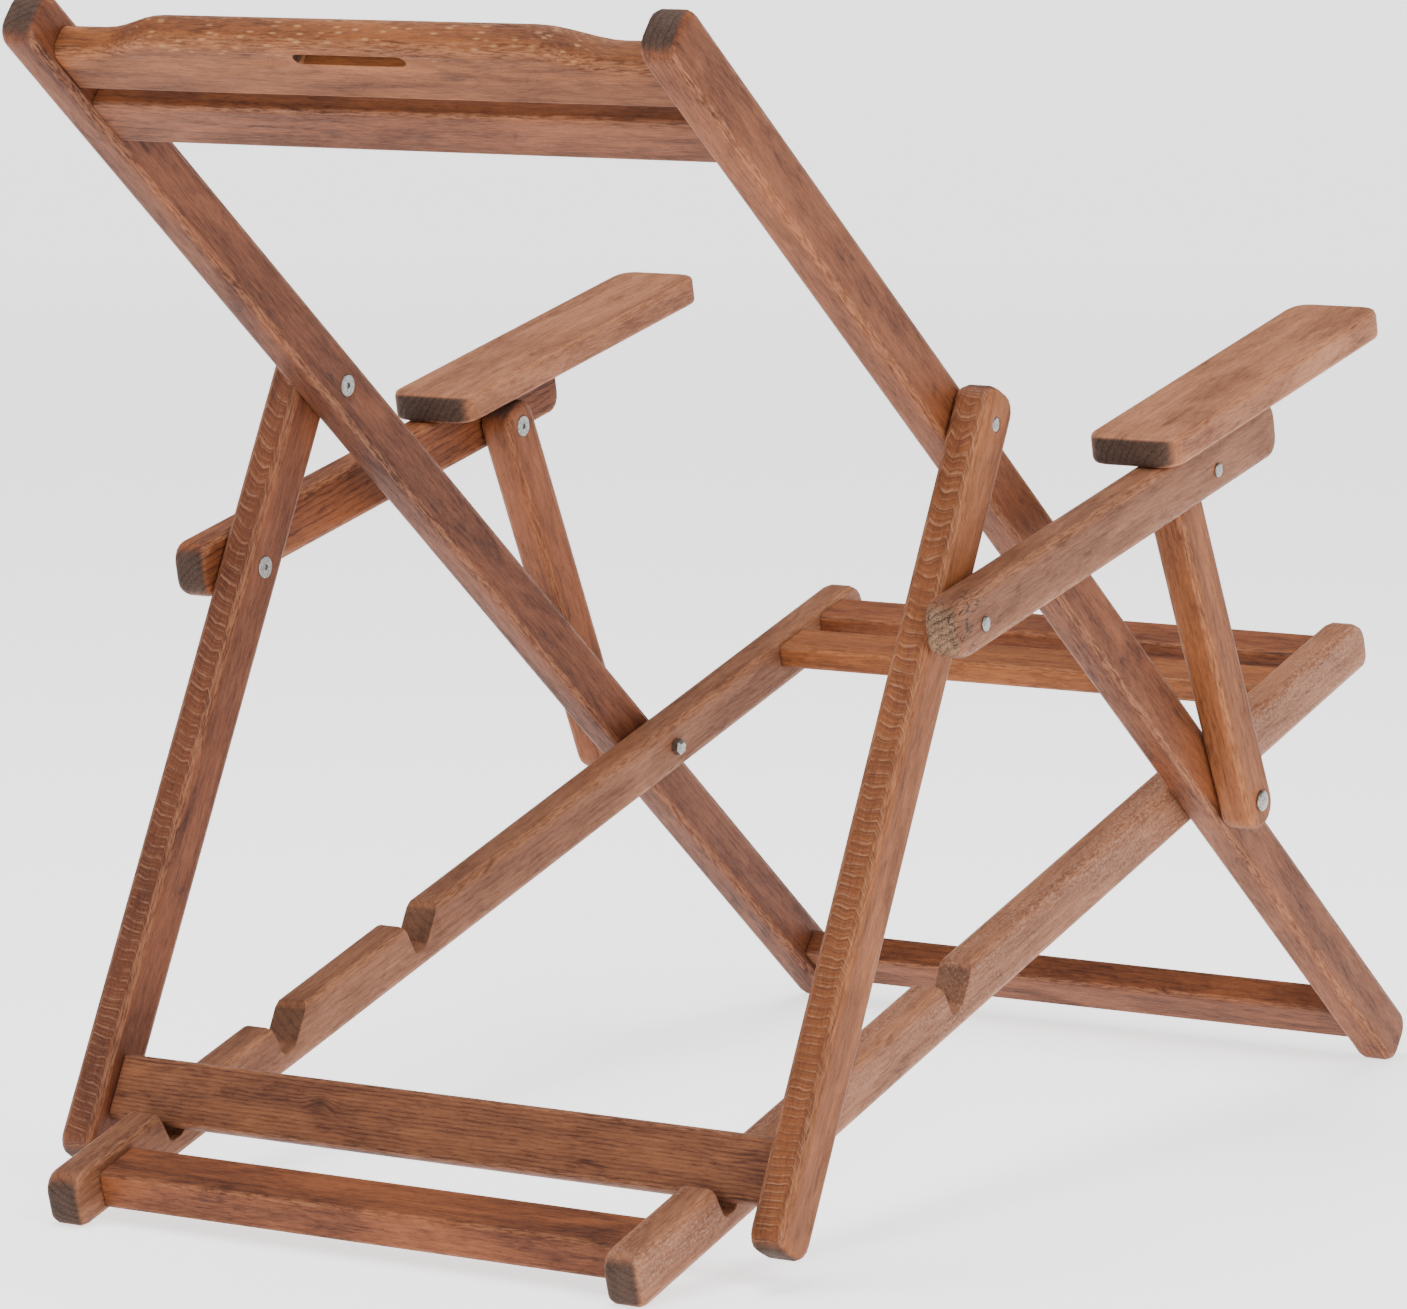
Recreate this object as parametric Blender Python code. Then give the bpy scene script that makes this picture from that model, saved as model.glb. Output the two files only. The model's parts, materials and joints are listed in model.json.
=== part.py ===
"""Folding deck chair with armrests: a bare timber frame, built as separate pieces in metres, +Z up.

The chair faces -Y and stands on z = 0. Four frames fold on through bolts: the back frame, the seat
frame inside it, the support frame outside it, and on each side an arm on a post. Each frame is
modelled flat in its own axes, where X is across the chair, Y runs along its laths and Z is their
width, and an empty on the frame's pivot turns it to its place.
"""
import math

import bmesh
import bpy
from mathutils import Vector

# ---- laths: one thickness, widths and lengths of their own -------------------------------------
LATH = 0.025                 # thickness across the chair
LAYER_GAP = 0.0011           # running gap between laths side by side
SEAT_INNER = 0.1974          # from the middle to the seat rails' inner faces
EDGE = 0.005                 # rounding along every lath
BACK_WIDTH = 0.038
SEAT_WIDTH = 0.036
LEG_WIDTH = 0.037
ARM_WIDTH = 0.0385
POST_WIDTH = 0.0345

BACK_UP = 0.8905             # hub to the back rails' top ends
BACK_DOWN = 0.3525           # hub to their feet
SEAT_FRONT = 0.277           # hub to the seat rails' front ends
SEAT_REAR = 0.736            # hub to their rear feet
LEG_ABOVE = 0.023            # leg pivot to the leg's top end
LEG_BEYOND = 0.030           # cross bar's lower edge to the leg's foot
ARM_BEHIND = 0.033           # rear arm pivot to the arm rail's rear end
ARM_AHEAD = 0.4058           # rear arm pivot to its front end
POST_BEYOND = 0.020          # hub to the post's lower end
POST_ABOVE = 0.018           # front arm pivot to the post's top end
END_ROUND = 0.013            # corners of the lath ends
SEAT_NOSE_ROUND = 0.017      # upper corner of the seat rails' front ends
SEAT_FOOT_ROUND = 0.009      # lower corner of their rear feet
POST_ROUND = 0.015

# ---- linkage ------------------------------------------------------------------------------------
LEG_PIVOT = 0.4685           # hub to the leg pivot, along the back rail
ARM_PIVOT = 0.132            # leg pivot to the rear arm pivot, along the leg
ARM_LINK = 0.3175            # rear to front arm pivot, along the arm rail
POST_LINK = 0.2665           # hub to the front arm pivot, along the post
ARM_PIVOT_DROP = 0.0037      # arm pivots below the middle of the arm rail
BAR_REACH = 0.5155           # leg pivot to the lower edge of the cross bar
NOTCHES = (0.3353, 0.4951, 0.6247)   # hub to the middle of the bar in each notch
NOTCH_IN_USE = 2             # the rearmost notch holds the back at its most upright
SEATED_BAR = 0.001           # height of the bar's lower edge over the seat rail's middle

# ---- cross members --------------------------------------------------------------------------------
BAR_THICK = 0.014
BAR_HEIGHT = 0.043
NOTCH_FLOOR = 0.0052         # depth of the notch floor below the rail's middle
NOTCH_REAR = 0.0093          # notch floor's rear end, behind the middle of the bar
NOTCH_LIP = 0.0162           # rear wall's top, behind the middle of the bar
NOTCH_EASE = 0.0022          # eased corners of the notch floor
SEAT_GAP = 0.0003            # gap between pieces that touch
RAIL_ROUND = 0.004           # rounding of the cross members' long edges
CREST_THICK = 0.025
CREST_LOW = BACK_UP - 0.0675     # hub to the crest rail's lower edge
CREST_END = BACK_UP - 0.0265     # hub to its top edge at the ends
CREST_MID = BACK_UP - 0.012      # hub to its top edge in the middle
CREST_SHOULDER = 0.0315      # length of the low stretch at each end of the top edge
CREST_SLOPE = 0.055          # length of the S-curve up to the raised middle
CREST_ROUND = 0.009
CREST_STEPS = 6
HAND_SLOT = (0.083, 0.010)   # length and height of the hand slot
HAND_SLOT_AT = BACK_UP - 0.0265      # hub to the middle of the slot
HAND_SLOT_SIDE = 0.004       # the slot's offset to the sitter's right
SLOT_END_ROUND = 0.49        # radius of the slot's ends, as a share of its height
LOWER_CREST = (BACK_UP - 0.1215, BACK_UP - 0.0795)   # hub to the lower crest bar's two edges
LOWER_CREST_THICK = 0.022
LOWER_CREST_BACK = 0.0145    # its rear face, behind the back rail's middle
FOOT_RAIL_AT = BACK_DOWN - 0.0408    # hub to the middle of the rail between the back rails' feet
FOOT_RAIL = (0.041, 0.022)   # its width and thickness
SLAT = (0.038, 0.0175)       # width and thickness of the front slats
SLAT_AT = (SEAT_FRONT - 0.0461, SEAT_FRONT - 0.1061)  # hub to the middle of each slat, forwards
SLAT_TOP = 0.0146            # slats' upper faces over the seat rail's middle
REAR_RAIL_AT = SEAT_REAR - 0.0456    # hub to the middle of the seat's rear rail
REAR_RAIL = (0.040, 0.0255)  # its width and thickness
REAR_RAIL_LOW = 0.0148       # its lower face under the seat rail's middle
BOARD_THICK = 0.020
BOARD_LENGTH = 0.312
BOARD_START = 0.244          # rear arm pivot to the arm board's rear end
BOARD_INSIDE = 0.0329        # how far the arm board reaches past the arm rail's inner face
BOARD_OUTSIDE = 0.0101       # and past its outer face
BOARD_ROUND = 0.015
BOARD_PINS = (0.045, 0.120)  # board's rear end to its dowels
BOARD_EDGE = 0.0035

# ---- fasteners -----------------------------------------------------------------------------------
BOLT_R = 0.003
BORE_R = 0.0033              # a bolt turns in it with a 0.3 mm gap
SLEEVE_R = 0.0045
FLANGE_R = 0.0074            # flanged sleeve nuts
FLANGE_THICK = 0.0016
FLANGE_EASE = 0.0004         # eased rim of a flange
FLANGE_FACE = 0.86           # flat of a flange, as a share of its radius
PROUD = 0.0006               # what a sunk head or flange stands over the timber
HEAD_R = 0.0048              # small domed heads
HEAD_DOME = 0.0018
HUB_HEAD_R = 0.0072
HUB_HEAD_DOME = 0.0030
HUB_NUT_R = 0.0060
HUB_NUT_LENGTH = 0.0065
HUB_NUT_FLATS = 0.7          # share of the nut's length before it tapers
HUB_NUT_TIP = 0.6            # its tip's radius, as a share of its own
HUB_NUT_THREAD = 0.6         # depth of its threaded hole, as a share of its length
SLEEVE_DEPTH = 0.015         # sleeve nuts, from the lath's inner face
SUNK = 0.0004                # what the hub bolts' heads lie below the back rails' outer faces
TIP = 0.003                  # bolt tips, from the lath's inner face
HEAD_RIM = 0.3               # share of a head's height that is its upright rim
DOME_STEPS = 4
NUT_SIDES = 6
SOCKET_R = 0.0023            # hexagon sockets, across corners
SOCKET_DEPTH = 0.0012
SOCKET_FLOOR = 0.001
DOWEL_R = 0.004
DOWEL_DEPTH = 0.013          # in each of the two pieces it joins
DOWEL_ROOM = 0.001           # glue room at the end of its hole
ROUND_SIDES = 16
DOWEL_SIDES = 12
CORNER_STEPS = 4             # facets of a rounded end corner
EDGE_STEPS = 2               # facets of a rounded edge
OVERSHOOT = 0.002            # how far a cutter passes through a face
SHARP = math.radians(35)     # edges turning more than this are shaded sharp

# ---- layers, from the middle outwards --------------------------------------------------------------
SEAT_OUTER = SEAT_INNER + LATH
BACK_INNER = SEAT_OUTER + LAYER_GAP
BACK_OUTER = BACK_INNER + LATH
LEG_INNER = BACK_OUTER + LAYER_GAP
LEG_OUTER = LEG_INNER + LATH
ARM_INNER = LEG_OUTER + LAYER_GAP
ARM_OUTER = ARM_INNER + LATH
BOARD_INNER = ARM_INNER - BOARD_INSIDE
BOARD_OUTER = ARM_OUTER + BOARD_OUTSIDE
CREST_SLOPE_END = BACK_INNER - CREST_SHOULDER
CREST_FLAT = CREST_SLOPE_END - CREST_SLOPE

SIDES = (("left", 1), ("right", -1))


# ---- the linkage, worked out in the back frame's plane ----------------------------------------------
def polar(length, angle):
    """A vector in the chair's side plane, from the lath direction."""
    return Vector((length * math.cos(angle), length * math.sin(angle)))


def third_point(near, far, reach_near, reach_far, side):
    """The point at two given distances from two points, on the side given by the sign."""
    span = far - near
    along = (reach_near ** 2 - reach_far ** 2 + span.length ** 2) / (2 * span.length)
    off = math.sqrt(reach_near ** 2 - along ** 2)
    unit = span.normalized()
    return near + unit * along + Vector((-unit.y, unit.x)) * off * side


def heading(vector):
    return math.atan2(vector.y, vector.x)


def open_angle():
    """Angle between the back and seat rails with the cross bar in the notch that is in use."""
    reach = math.hypot(NOTCHES[NOTCH_IN_USE], SEATED_BAR)
    cosine = (LEG_PIVOT ** 2 + reach ** 2 - BAR_REACH ** 2) / (2 * LEG_PIVOT * reach)
    return math.acos(cosine) + math.atan2(SEATED_BAR, NOTCHES[NOTCH_IN_USE])


def back_lean(opening):
    """The back rails' slope when their feet and the seat rails' feet stand on one floor."""
    back_foot = Vector((-BACK_DOWN + END_ROUND, -BACK_WIDTH / 2 + END_ROUND))
    seat_foot = polar(1, -opening) * (SEAT_REAR - SEAT_FOOT_ROUND)
    seat_foot += polar(1, math.pi / 2 - opening) * (-SEAT_WIDTH / 2 + SEAT_FOOT_ROUND)
    between = seat_foot - back_foot
    return math.asin((SEAT_FOOT_ROUND - END_ROUND) / between.length) - heading(between)


OPENING = open_angle()
BACK_ANGLE = back_lean(OPENING)
SEAT_ANGLE = BACK_ANGLE - OPENING
HUB = Vector((0, 0))
LEG_TURN = HUB + polar(LEG_PIVOT, BACK_ANGLE)
BAR_FOOT = polar(NOTCHES[NOTCH_IN_USE], SEAT_ANGLE) + polar(SEATED_BAR, SEAT_ANGLE + math.pi / 2)
LEG_ANGLE = heading(BAR_FOOT - LEG_TURN)
ARM_TURN = LEG_TURN + polar(ARM_PIVOT, LEG_ANGLE)
ARM_FRONT = third_point(ARM_TURN, HUB, ARM_LINK, POST_LINK, -1)
ARM_ANGLE = heading(ARM_FRONT - ARM_TURN)
POST_ANGLE = heading(HUB - ARM_FRONT)


# ---- mesh helpers ----------------------------------------------------------------------------------
def material(name, colour, roughness, metallic):
    result = bpy.data.materials.new(name)
    result.use_nodes = True
    shader = result.node_tree.nodes["Principled BSDF"]
    shader.inputs["Base Color"].default_value = (*colour, 1)
    shader.inputs["Roughness"].default_value = roughness
    shader.inputs["Metallic"].default_value = metallic
    return result


def corner_arc(centre, radius, start, steps):
    """Points of a quarter turn about a centre, anticlockwise."""
    return [(centre[0] + radius * math.cos(start + math.pi / 2 * k / steps),
             centre[1] + radius * math.sin(start + math.pi / 2 * k / steps)) for k in range(steps + 1)]


def rounded_rectangle(low, high, radii, steps=CORNER_STEPS):
    """Outline from (low, low) to (high, high); radii go anticlockwise from the high, high corner."""
    corners = ((high[0], high[1], -1, -1), (low[0], high[1], 1, -1),
               (low[0], low[1], 1, 1), (high[0], low[1], -1, 1))
    points = []
    for turn, ((u, v, du, dv), radius) in enumerate(zip(corners, radii)):
        points += corner_arc((u + du * radius, v + dv * radius), radius, turn * math.pi / 2, steps)
    return points


def loft(loops):
    """A closed mesh through loops of equal length, capped at both ends."""
    mesh = bmesh.new()
    rings = [[mesh.verts.new(point) for point in loop] for loop in loops]
    count = len(rings[0])
    for near, far in zip(rings, rings[1:]):
        for k in range(count):
            mesh.faces.new((near[k], near[(k + 1) % count], far[(k + 1) % count], far[k]))
    mesh.faces.new(rings[0][::-1])
    mesh.faces.new(rings[-1])
    bmesh.ops.recalc_face_normals(mesh, faces=mesh.faces)
    return mesh


def slab(low, high, radii, start, end, edge, place, steps=CORNER_STEPS):
    """A rounded rectangle with depth: `place` turns (u, v, depth) into frame coordinates."""
    loops = []
    if edge:
        stations = [edge * (1 - math.cos(math.pi / 2 * k / EDGE_STEPS)) for k in range(EDGE_STEPS + 1)]
        insets = [edge * (1 - math.sin(math.pi / 2 * k / EDGE_STEPS)) for k in range(EDGE_STEPS + 1)]
    else:
        stations, insets = [0], [0]
    layers = [(start + s, i) for s, i in zip(stations, insets)]
    layers += [(end - s, i) for s, i in zip(reversed(stations), reversed(insets))]
    for depth, inset in layers:
        outline = rounded_rectangle((low[0] + inset, low[1] + inset), (high[0] - inset, high[1] - inset),
                                    [radius - inset for radius in radii], steps)
        loops.append([place(u, v, depth) for u, v in outline])
    return loft(loops)


def across(u, v, depth):
    """Outline in the lath's side view, depth across the chair."""
    return (depth, u, v)


def through(u, v, depth):
    """Outline across the chair and along the lath, depth through the lath's width."""
    return (u, v, depth)


def turned(profile, along=0, side_on=0, sides=ROUND_SIDES):
    """A round piece on an axis across the chair: profile is (distance along X, radius)."""
    loops = []
    ring = [2 * math.pi * k / sides for k in range(sides)]
    for depth, radius in profile:
        loops.append([(depth, along + radius * math.cos(a), side_on + radius * math.sin(a)) for a in ring])
    return loft(loops)


def rod(side, start, end, radius, along=0, side_on=0, sides=ROUND_SIDES):
    """A straight cylinder on one side of the chair, between two distances from the middle."""
    return turned([(side * start, radius), (side * end, radius)], along, side_on, sides)


def upright_cylinder(x, along, ends, radius):
    """A cylinder standing through a lath's width."""
    ring = [2 * math.pi * k / DOWEL_SIDES for k in range(DOWEL_SIDES)]
    return loft([[(x + radius * math.cos(a), along + radius * math.sin(a), z) for a in ring] for z in ends])


def joined(meshes):
    """Several closed meshes in one, for a cutter."""
    result = bmesh.new()
    for mesh in meshes:
        spare = bpy.data.meshes.new("spare")
        mesh.to_mesh(spare)
        result.from_mesh(spare)
        bpy.data.meshes.remove(spare)
    return result


def add_object(name, mesh, finish, frame):
    data = bpy.data.meshes.new(name)
    mesh.to_mesh(data)
    mesh.free()
    data.materials.append(finish)
    data.shade_smooth()
    data.set_sharp_from_angle(angle=SHARP)
    result = bpy.data.objects.new(name, data)
    bpy.context.collection.objects.link(result)
    result.parent = frame
    return result


def cut(piece, meshes):
    """Takes the given closed meshes out of a piece."""
    cutter = add_object("cut_" + piece.name, joined(meshes), piece.data.materials[0], piece.parent)
    cutter.hide_render = True
    cutter.display_type = "WIRE"
    modifier = piece.modifiers.new("bores", "BOOLEAN")
    modifier.operation = "DIFFERENCE"
    modifier.solver = "EXACT"
    modifier.object = cutter


def frame_empty(name, at, angle):
    result = bpy.data.objects.new(name, None)
    bpy.context.collection.objects.link(result)
    result.parent = ROOT
    result.location = (0, at.x, at.y)
    result.rotation_euler = (angle, 0, 0)
    return result


def pivot_empty(name, frame, along):
    """A pivot on a frame's own lath axis."""
    result = bpy.data.objects.new(name, None)
    bpy.context.collection.objects.link(result)
    result.parent = frame
    result.location = (0, along, 0)
    return result


# ---- timber pieces --------------------------------------------------------------------------------
def lath(name, frame, side, inner, low, high, radii, cutters):
    """A lath on one side of the chair, with its bores cut."""
    near, far = sorted((side * inner, side * (inner + LATH)))
    piece = add_object(name, slab(low, high, radii, near, far, EDGE, across), TIMBER, frame)
    cut(piece, cutters)


def bore(inner, side, along=0):
    """A bolt hole right through a lath."""
    return rod(side, inner - OVERSHOOT, inner + LATH + OVERSHOOT, BORE_R, along)


def stepped(side, along, start, steps):
    """A bore of several radii: each step is (distance where it ends, radius)."""
    profile = []
    for end, radius in steps:
        profile += [(side * start, radius), (side * end, radius)]
        start = end
    return turned(profile, along)


def nut_bore(inner, side, along):
    """A bolt hole with room for a flange and its sleeve, from a lath's inner face."""
    flange = inner + FLANGE_THICK - PROUD + SEAT_GAP
    return stepped(side, along, inner - OVERSHOOT, [
        (flange, FLANGE_R + SEAT_GAP), (inner + SLEEVE_DEPTH + SEAT_GAP, SLEEVE_R + SEAT_GAP),
        (inner + LATH + OVERSHOOT, BORE_R)])


def head_bore(inner, side, along, proud):
    """A bolt hole with room for a small domed head in the lath's outer face."""
    outer = inner + LATH
    return stepped(side, along, inner - OVERSHOOT, [
        (outer - HEAD_DOME + proud - SEAT_GAP, BORE_R), (outer + OVERSHOOT, HEAD_R + SEAT_GAP)])


def end_hole(half, side, along, side_on):
    """A blind dowel hole in the end of a cross rail."""
    deep = half - DOWEL_DEPTH - DOWEL_ROOM
    return rod(side, deep, half + OVERSHOOT, DOWEL_R + SEAT_GAP, along, side_on, DOWEL_SIDES)


def face_hole(face, side, along, side_on):
    """A blind dowel hole in a lath's inner face."""
    deep = face + DOWEL_DEPTH + DOWEL_ROOM
    return rod(side, face - OVERSHOOT, deep, DOWEL_R + SEAT_GAP, along, side_on, DOWEL_SIDES)


def dowel(name, frame, face, side, along, side_on):
    pin = rod(side, face - DOWEL_DEPTH, face + DOWEL_DEPTH, DOWEL_R, along, side_on, DOWEL_SIDES)
    add_object(name, pin, DOWEL_WOOD, frame)


def cross_rail(name, frame, half, low, high, pin):
    """A rail between two laths, with a dowel hole in each end at `pin`."""
    mesh = slab(low, high, [RAIL_ROUND] * 4, SEAT_GAP - half, half - SEAT_GAP, 0, across, EDGE_STEPS)
    piece = add_object(name, mesh, TIMBER, frame)
    cut(piece, [end_hole(half, side, *pin) for _, side in SIDES])


def crest_top(x):
    """The crest rail's top edge: low at the ends, an S-curve up to a level middle."""
    share = (abs(x) - CREST_FLAT) / (CREST_SLOPE_END - CREST_FLAT)
    share = min(max(share, 0), 1)
    return CREST_END + (CREST_MID - CREST_END) * (1 + math.cos(math.pi * share)) / 2


def crest_rail():
    half = BACK_INNER - SEAT_GAP
    slope = [CREST_FLAT + (CREST_SLOPE_END - CREST_FLAT) * k / CREST_STEPS for k in range(CREST_STEPS + 1)]
    loops = []
    for x in [-half] + [-x for x in reversed(slope)] + slope + [half]:
        outline = rounded_rectangle((CREST_LOW, -CREST_THICK / 2), (crest_top(x), CREST_THICK / 2),
                                    (CREST_ROUND, RAIL_ROUND, RAIL_ROUND, CREST_ROUND))
        loops.append([across(u, v, x) for u, v in outline])
    piece = add_object("crest_rail", loft(loops), TIMBER, BACK)
    length, height = HAND_SLOT
    slot = slab((-length / 2 - HAND_SLOT_SIDE, HAND_SLOT_AT - height / 2),
                (length / 2 - HAND_SLOT_SIDE, HAND_SLOT_AT + height / 2), [height * SLOT_END_ROUND] * 4,
                -CREST_THICK / 2 - OVERSHOOT, CREST_THICK / 2 + OVERSHOOT, 0, through)
    cut(piece, [end_hole(BACK_INNER, side, CREST_DOWEL, 0) for _, side in SIDES] + [slot])


def notch(at, side):
    """A notch in the seat rail's upper edge: the front wall is parallel to the seated bar."""
    lean = LEG_ANGLE - SEAT_ANGLE
    front = Vector((at, SEATED_BAR)) - polar(BAR_THICK / 2 + SEAT_GAP, lean + math.pi / 2)
    rise = polar(1, lean)
    high = SEAT_WIDTH / 2 + OVERSHOOT
    crown = front + rise * (high - front.y) / rise.y
    corner = front + rise * (-NOTCH_FLOOR - front.y) / rise.y
    slope = (NOTCH_LIP - NOTCH_REAR) / (SEAT_WIDTH / 2 + NOTCH_FLOOR)
    heel = at + NOTCH_REAR
    profile = [(crown.x, high), corner - rise * NOTCH_EASE, (corner.x + NOTCH_EASE, -NOTCH_FLOOR),
               (heel - NOTCH_EASE, -NOTCH_FLOOR), (heel + slope * NOTCH_EASE, NOTCH_EASE - NOTCH_FLOOR),
               (heel + slope * (high + NOTCH_FLOOR), high)]
    depths = (side * (SEAT_INNER - OVERSHOOT), side * (SEAT_OUTER + OVERSHOOT))
    return loft([[across(u, v, x) for u, v in profile] for x in depths])


# ---- fasteners ------------------------------------------------------------------------------------
def bolt(name, frame, side, under, tip, radius, high):
    """A bolt from outside: a domed head standing on `under`, its shank reaching inwards to `tip`."""
    rim = high * HEAD_RIM
    profile = [(tip, BOLT_R), (under, BOLT_R), (under, radius), (under + rim, radius)]
    for k in range(1, DOME_STEPS):
        turn = math.pi / 2 * k / DOME_STEPS
        profile.append((under + rim + (high - rim) * math.sin(turn), radius * math.cos(turn)))
    return add_object(name, turned([(side * x, r) for x, r in profile]), STEEL, frame)


def flanged_nut(name, frame, side, face):
    """A sleeve nut sunk in an inner face: a flange with a hexagon socket, and a sleeve outwards."""
    outer = face - PROUD
    under = outer + FLANGE_THICK
    profile = [(outer, FLANGE_R * FLANGE_FACE), (outer + FLANGE_EASE, FLANGE_R), (under, FLANGE_R),
               (under, SLEEVE_R), (face + SLEEVE_DEPTH, SLEEVE_R)]
    piece = add_object(name, turned([(side * x, r) for x, r in profile]), STEEL, frame)
    socket = rod(side, outer - OVERSHOOT, outer + SOCKET_DEPTH, SOCKET_R, sides=NUT_SIDES)
    thread = rod(side, outer + SOCKET_DEPTH + SOCKET_FLOOR, face + SLEEVE_DEPTH + OVERSHOOT, BORE_R)
    cut(piece, [socket, thread])


def hub_nut(name, frame, side, face):
    """A closed hexagon nut on the inner face of a seat rail."""
    outer = face - SEAT_GAP
    profile = [(outer, HUB_NUT_R), (outer - HUB_NUT_LENGTH * HUB_NUT_FLATS, HUB_NUT_R),
               (outer - HUB_NUT_LENGTH, HUB_NUT_R * HUB_NUT_TIP)]
    piece = add_object(name, turned([(side * x, r) for x, r in profile], sides=NUT_SIDES), STEEL, frame)
    cut(piece, [rod(side, outer - HUB_NUT_LENGTH * HUB_NUT_THREAD, outer + OVERSHOOT, BORE_R)])


# ---- materials and frames -------------------------------------------------------------------------
for old in list(bpy.data.objects):
    bpy.data.objects.remove(old, do_unlink=True)

TIMBER = material("oiled_hardwood", (0.29, 0.105, 0.045), 0.48, 0)
DOWEL_WOOD = material("dowel_wood", (0.52, 0.35, 0.19), 0.6, 0)
STEEL = material("zinc_steel", (0.62, 0.63, 0.64), 0.35, 1)

ROOT = bpy.data.objects.new("folding_chair", None)
bpy.context.collection.objects.link(ROOT)
BACK = frame_empty("back_frame", HUB, BACK_ANGLE)
SEAT = frame_empty("seat_frame", HUB, SEAT_ANGLE)
SUPPORT = frame_empty("support_frame", LEG_TURN, LEG_ANGLE)
ARM = frame_empty("arm_frame", ARM_TURN, ARM_ANGLE)
POST = frame_empty("post_frame", ARM_FRONT, POST_ANGLE)


# ---- back frame ---------------------------------------------------------------------------------------
CREST_DOWEL = (CREST_LOW + CREST_END) / 2
LOWER_CREST_DOWEL = ((LOWER_CREST[0] + LOWER_CREST[1]) / 2, LOWER_CREST_THICK / 2 - LOWER_CREST_BACK)
BACK_DOWELS = {"crest": (CREST_DOWEL, 0), "lower_crest": LOWER_CREST_DOWEL, "foot_rail": (-FOOT_RAIL_AT, 0)}
for label, side in SIDES:
    holes = [face_hole(BACK_INNER, side, u, v) for u, v in BACK_DOWELS.values()]
    holes += [head_bore(BACK_INNER, side, 0, -SUNK), nut_bore(BACK_INNER, side, LEG_PIVOT)]
    lath("back_rail_" + label, BACK, side, BACK_INNER, (-BACK_DOWN, -BACK_WIDTH / 2),
         (BACK_UP, BACK_WIDTH / 2), [END_ROUND] * 4, holes)
    for member, (u, v) in BACK_DOWELS.items():
        dowel("dowel_" + member + "_" + label, BACK, BACK_INNER, side, u, v)
crest_rail()
cross_rail("lower_crest_bar", BACK, BACK_INNER, (LOWER_CREST[0], -LOWER_CREST_BACK),
           (LOWER_CREST[1], LOWER_CREST_THICK - LOWER_CREST_BACK), LOWER_CREST_DOWEL)
cross_rail("foot_rail", BACK, BACK_INNER, (-FOOT_RAIL_AT - FOOT_RAIL[0] / 2, -FOOT_RAIL[1] / 2),
           (-FOOT_RAIL_AT + FOOT_RAIL[0] / 2, FOOT_RAIL[1] / 2), BACK_DOWELS["foot_rail"])

# ---- seat frame ----------------------------------------------------------------------------------------
SLAT_LOW = SLAT_TOP - SLAT[1]
SEAT_MEMBERS = {"front_slat": (-SLAT_AT[0], SLAT[0], SLAT_LOW, SLAT[1]),
                "second_slat": (-SLAT_AT[1], SLAT[0], SLAT_LOW, SLAT[1]),
                "rear_rail": (REAR_RAIL_AT, REAR_RAIL[0], -REAR_RAIL_LOW, REAR_RAIL[1])}
for member, (along, width, low, thick) in SEAT_MEMBERS.items():
    cross_rail(member, SEAT, SEAT_INNER, (along - width / 2, low), (along + width / 2, low + thick),
               (along, low + thick / 2))
for label, side in SIDES:
    holes = [bore(SEAT_INNER, side)] + [notch(at, side) for at in NOTCHES]
    for member, (along, width, low, thick) in SEAT_MEMBERS.items():
        holes.append(face_hole(SEAT_INNER, side, along, low + thick / 2))
        dowel("dowel_" + member + "_" + label, SEAT, SEAT_INNER, side, along, low + thick / 2)
    lath("seat_rail_" + label, SEAT, side, SEAT_INNER, (-SEAT_FRONT, -SEAT_WIDTH / 2),
         (SEAT_REAR, SEAT_WIDTH / 2), (END_ROUND, SEAT_NOSE_ROUND, SEAT_FOOT_ROUND, SEAT_FOOT_ROUND), holes)

# ---- support frame -------------------------------------------------------------------------------------
BAR_MIDDLE = BAR_REACH - BAR_HEIGHT / 2
cross_rail("support_bar", SUPPORT, LEG_INNER, (BAR_REACH - BAR_HEIGHT, -BAR_THICK / 2),
           (BAR_REACH, BAR_THICK / 2), (BAR_MIDDLE, 0))
for label, side in SIDES:
    holes = [face_hole(LEG_INNER, side, BAR_MIDDLE, 0), head_bore(LEG_INNER, side, 0, PROUD),
             nut_bore(LEG_INNER, side, ARM_PIVOT)]
    lath("support_leg_" + label, SUPPORT, side, LEG_INNER, (-LEG_ABOVE, -LEG_WIDTH / 2),
         (BAR_REACH + LEG_BEYOND, LEG_WIDTH / 2), [END_ROUND] * 4, holes)
    dowel("dowel_support_bar_" + label, SUPPORT, LEG_INNER, side, BAR_MIDDLE, 0)

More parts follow.
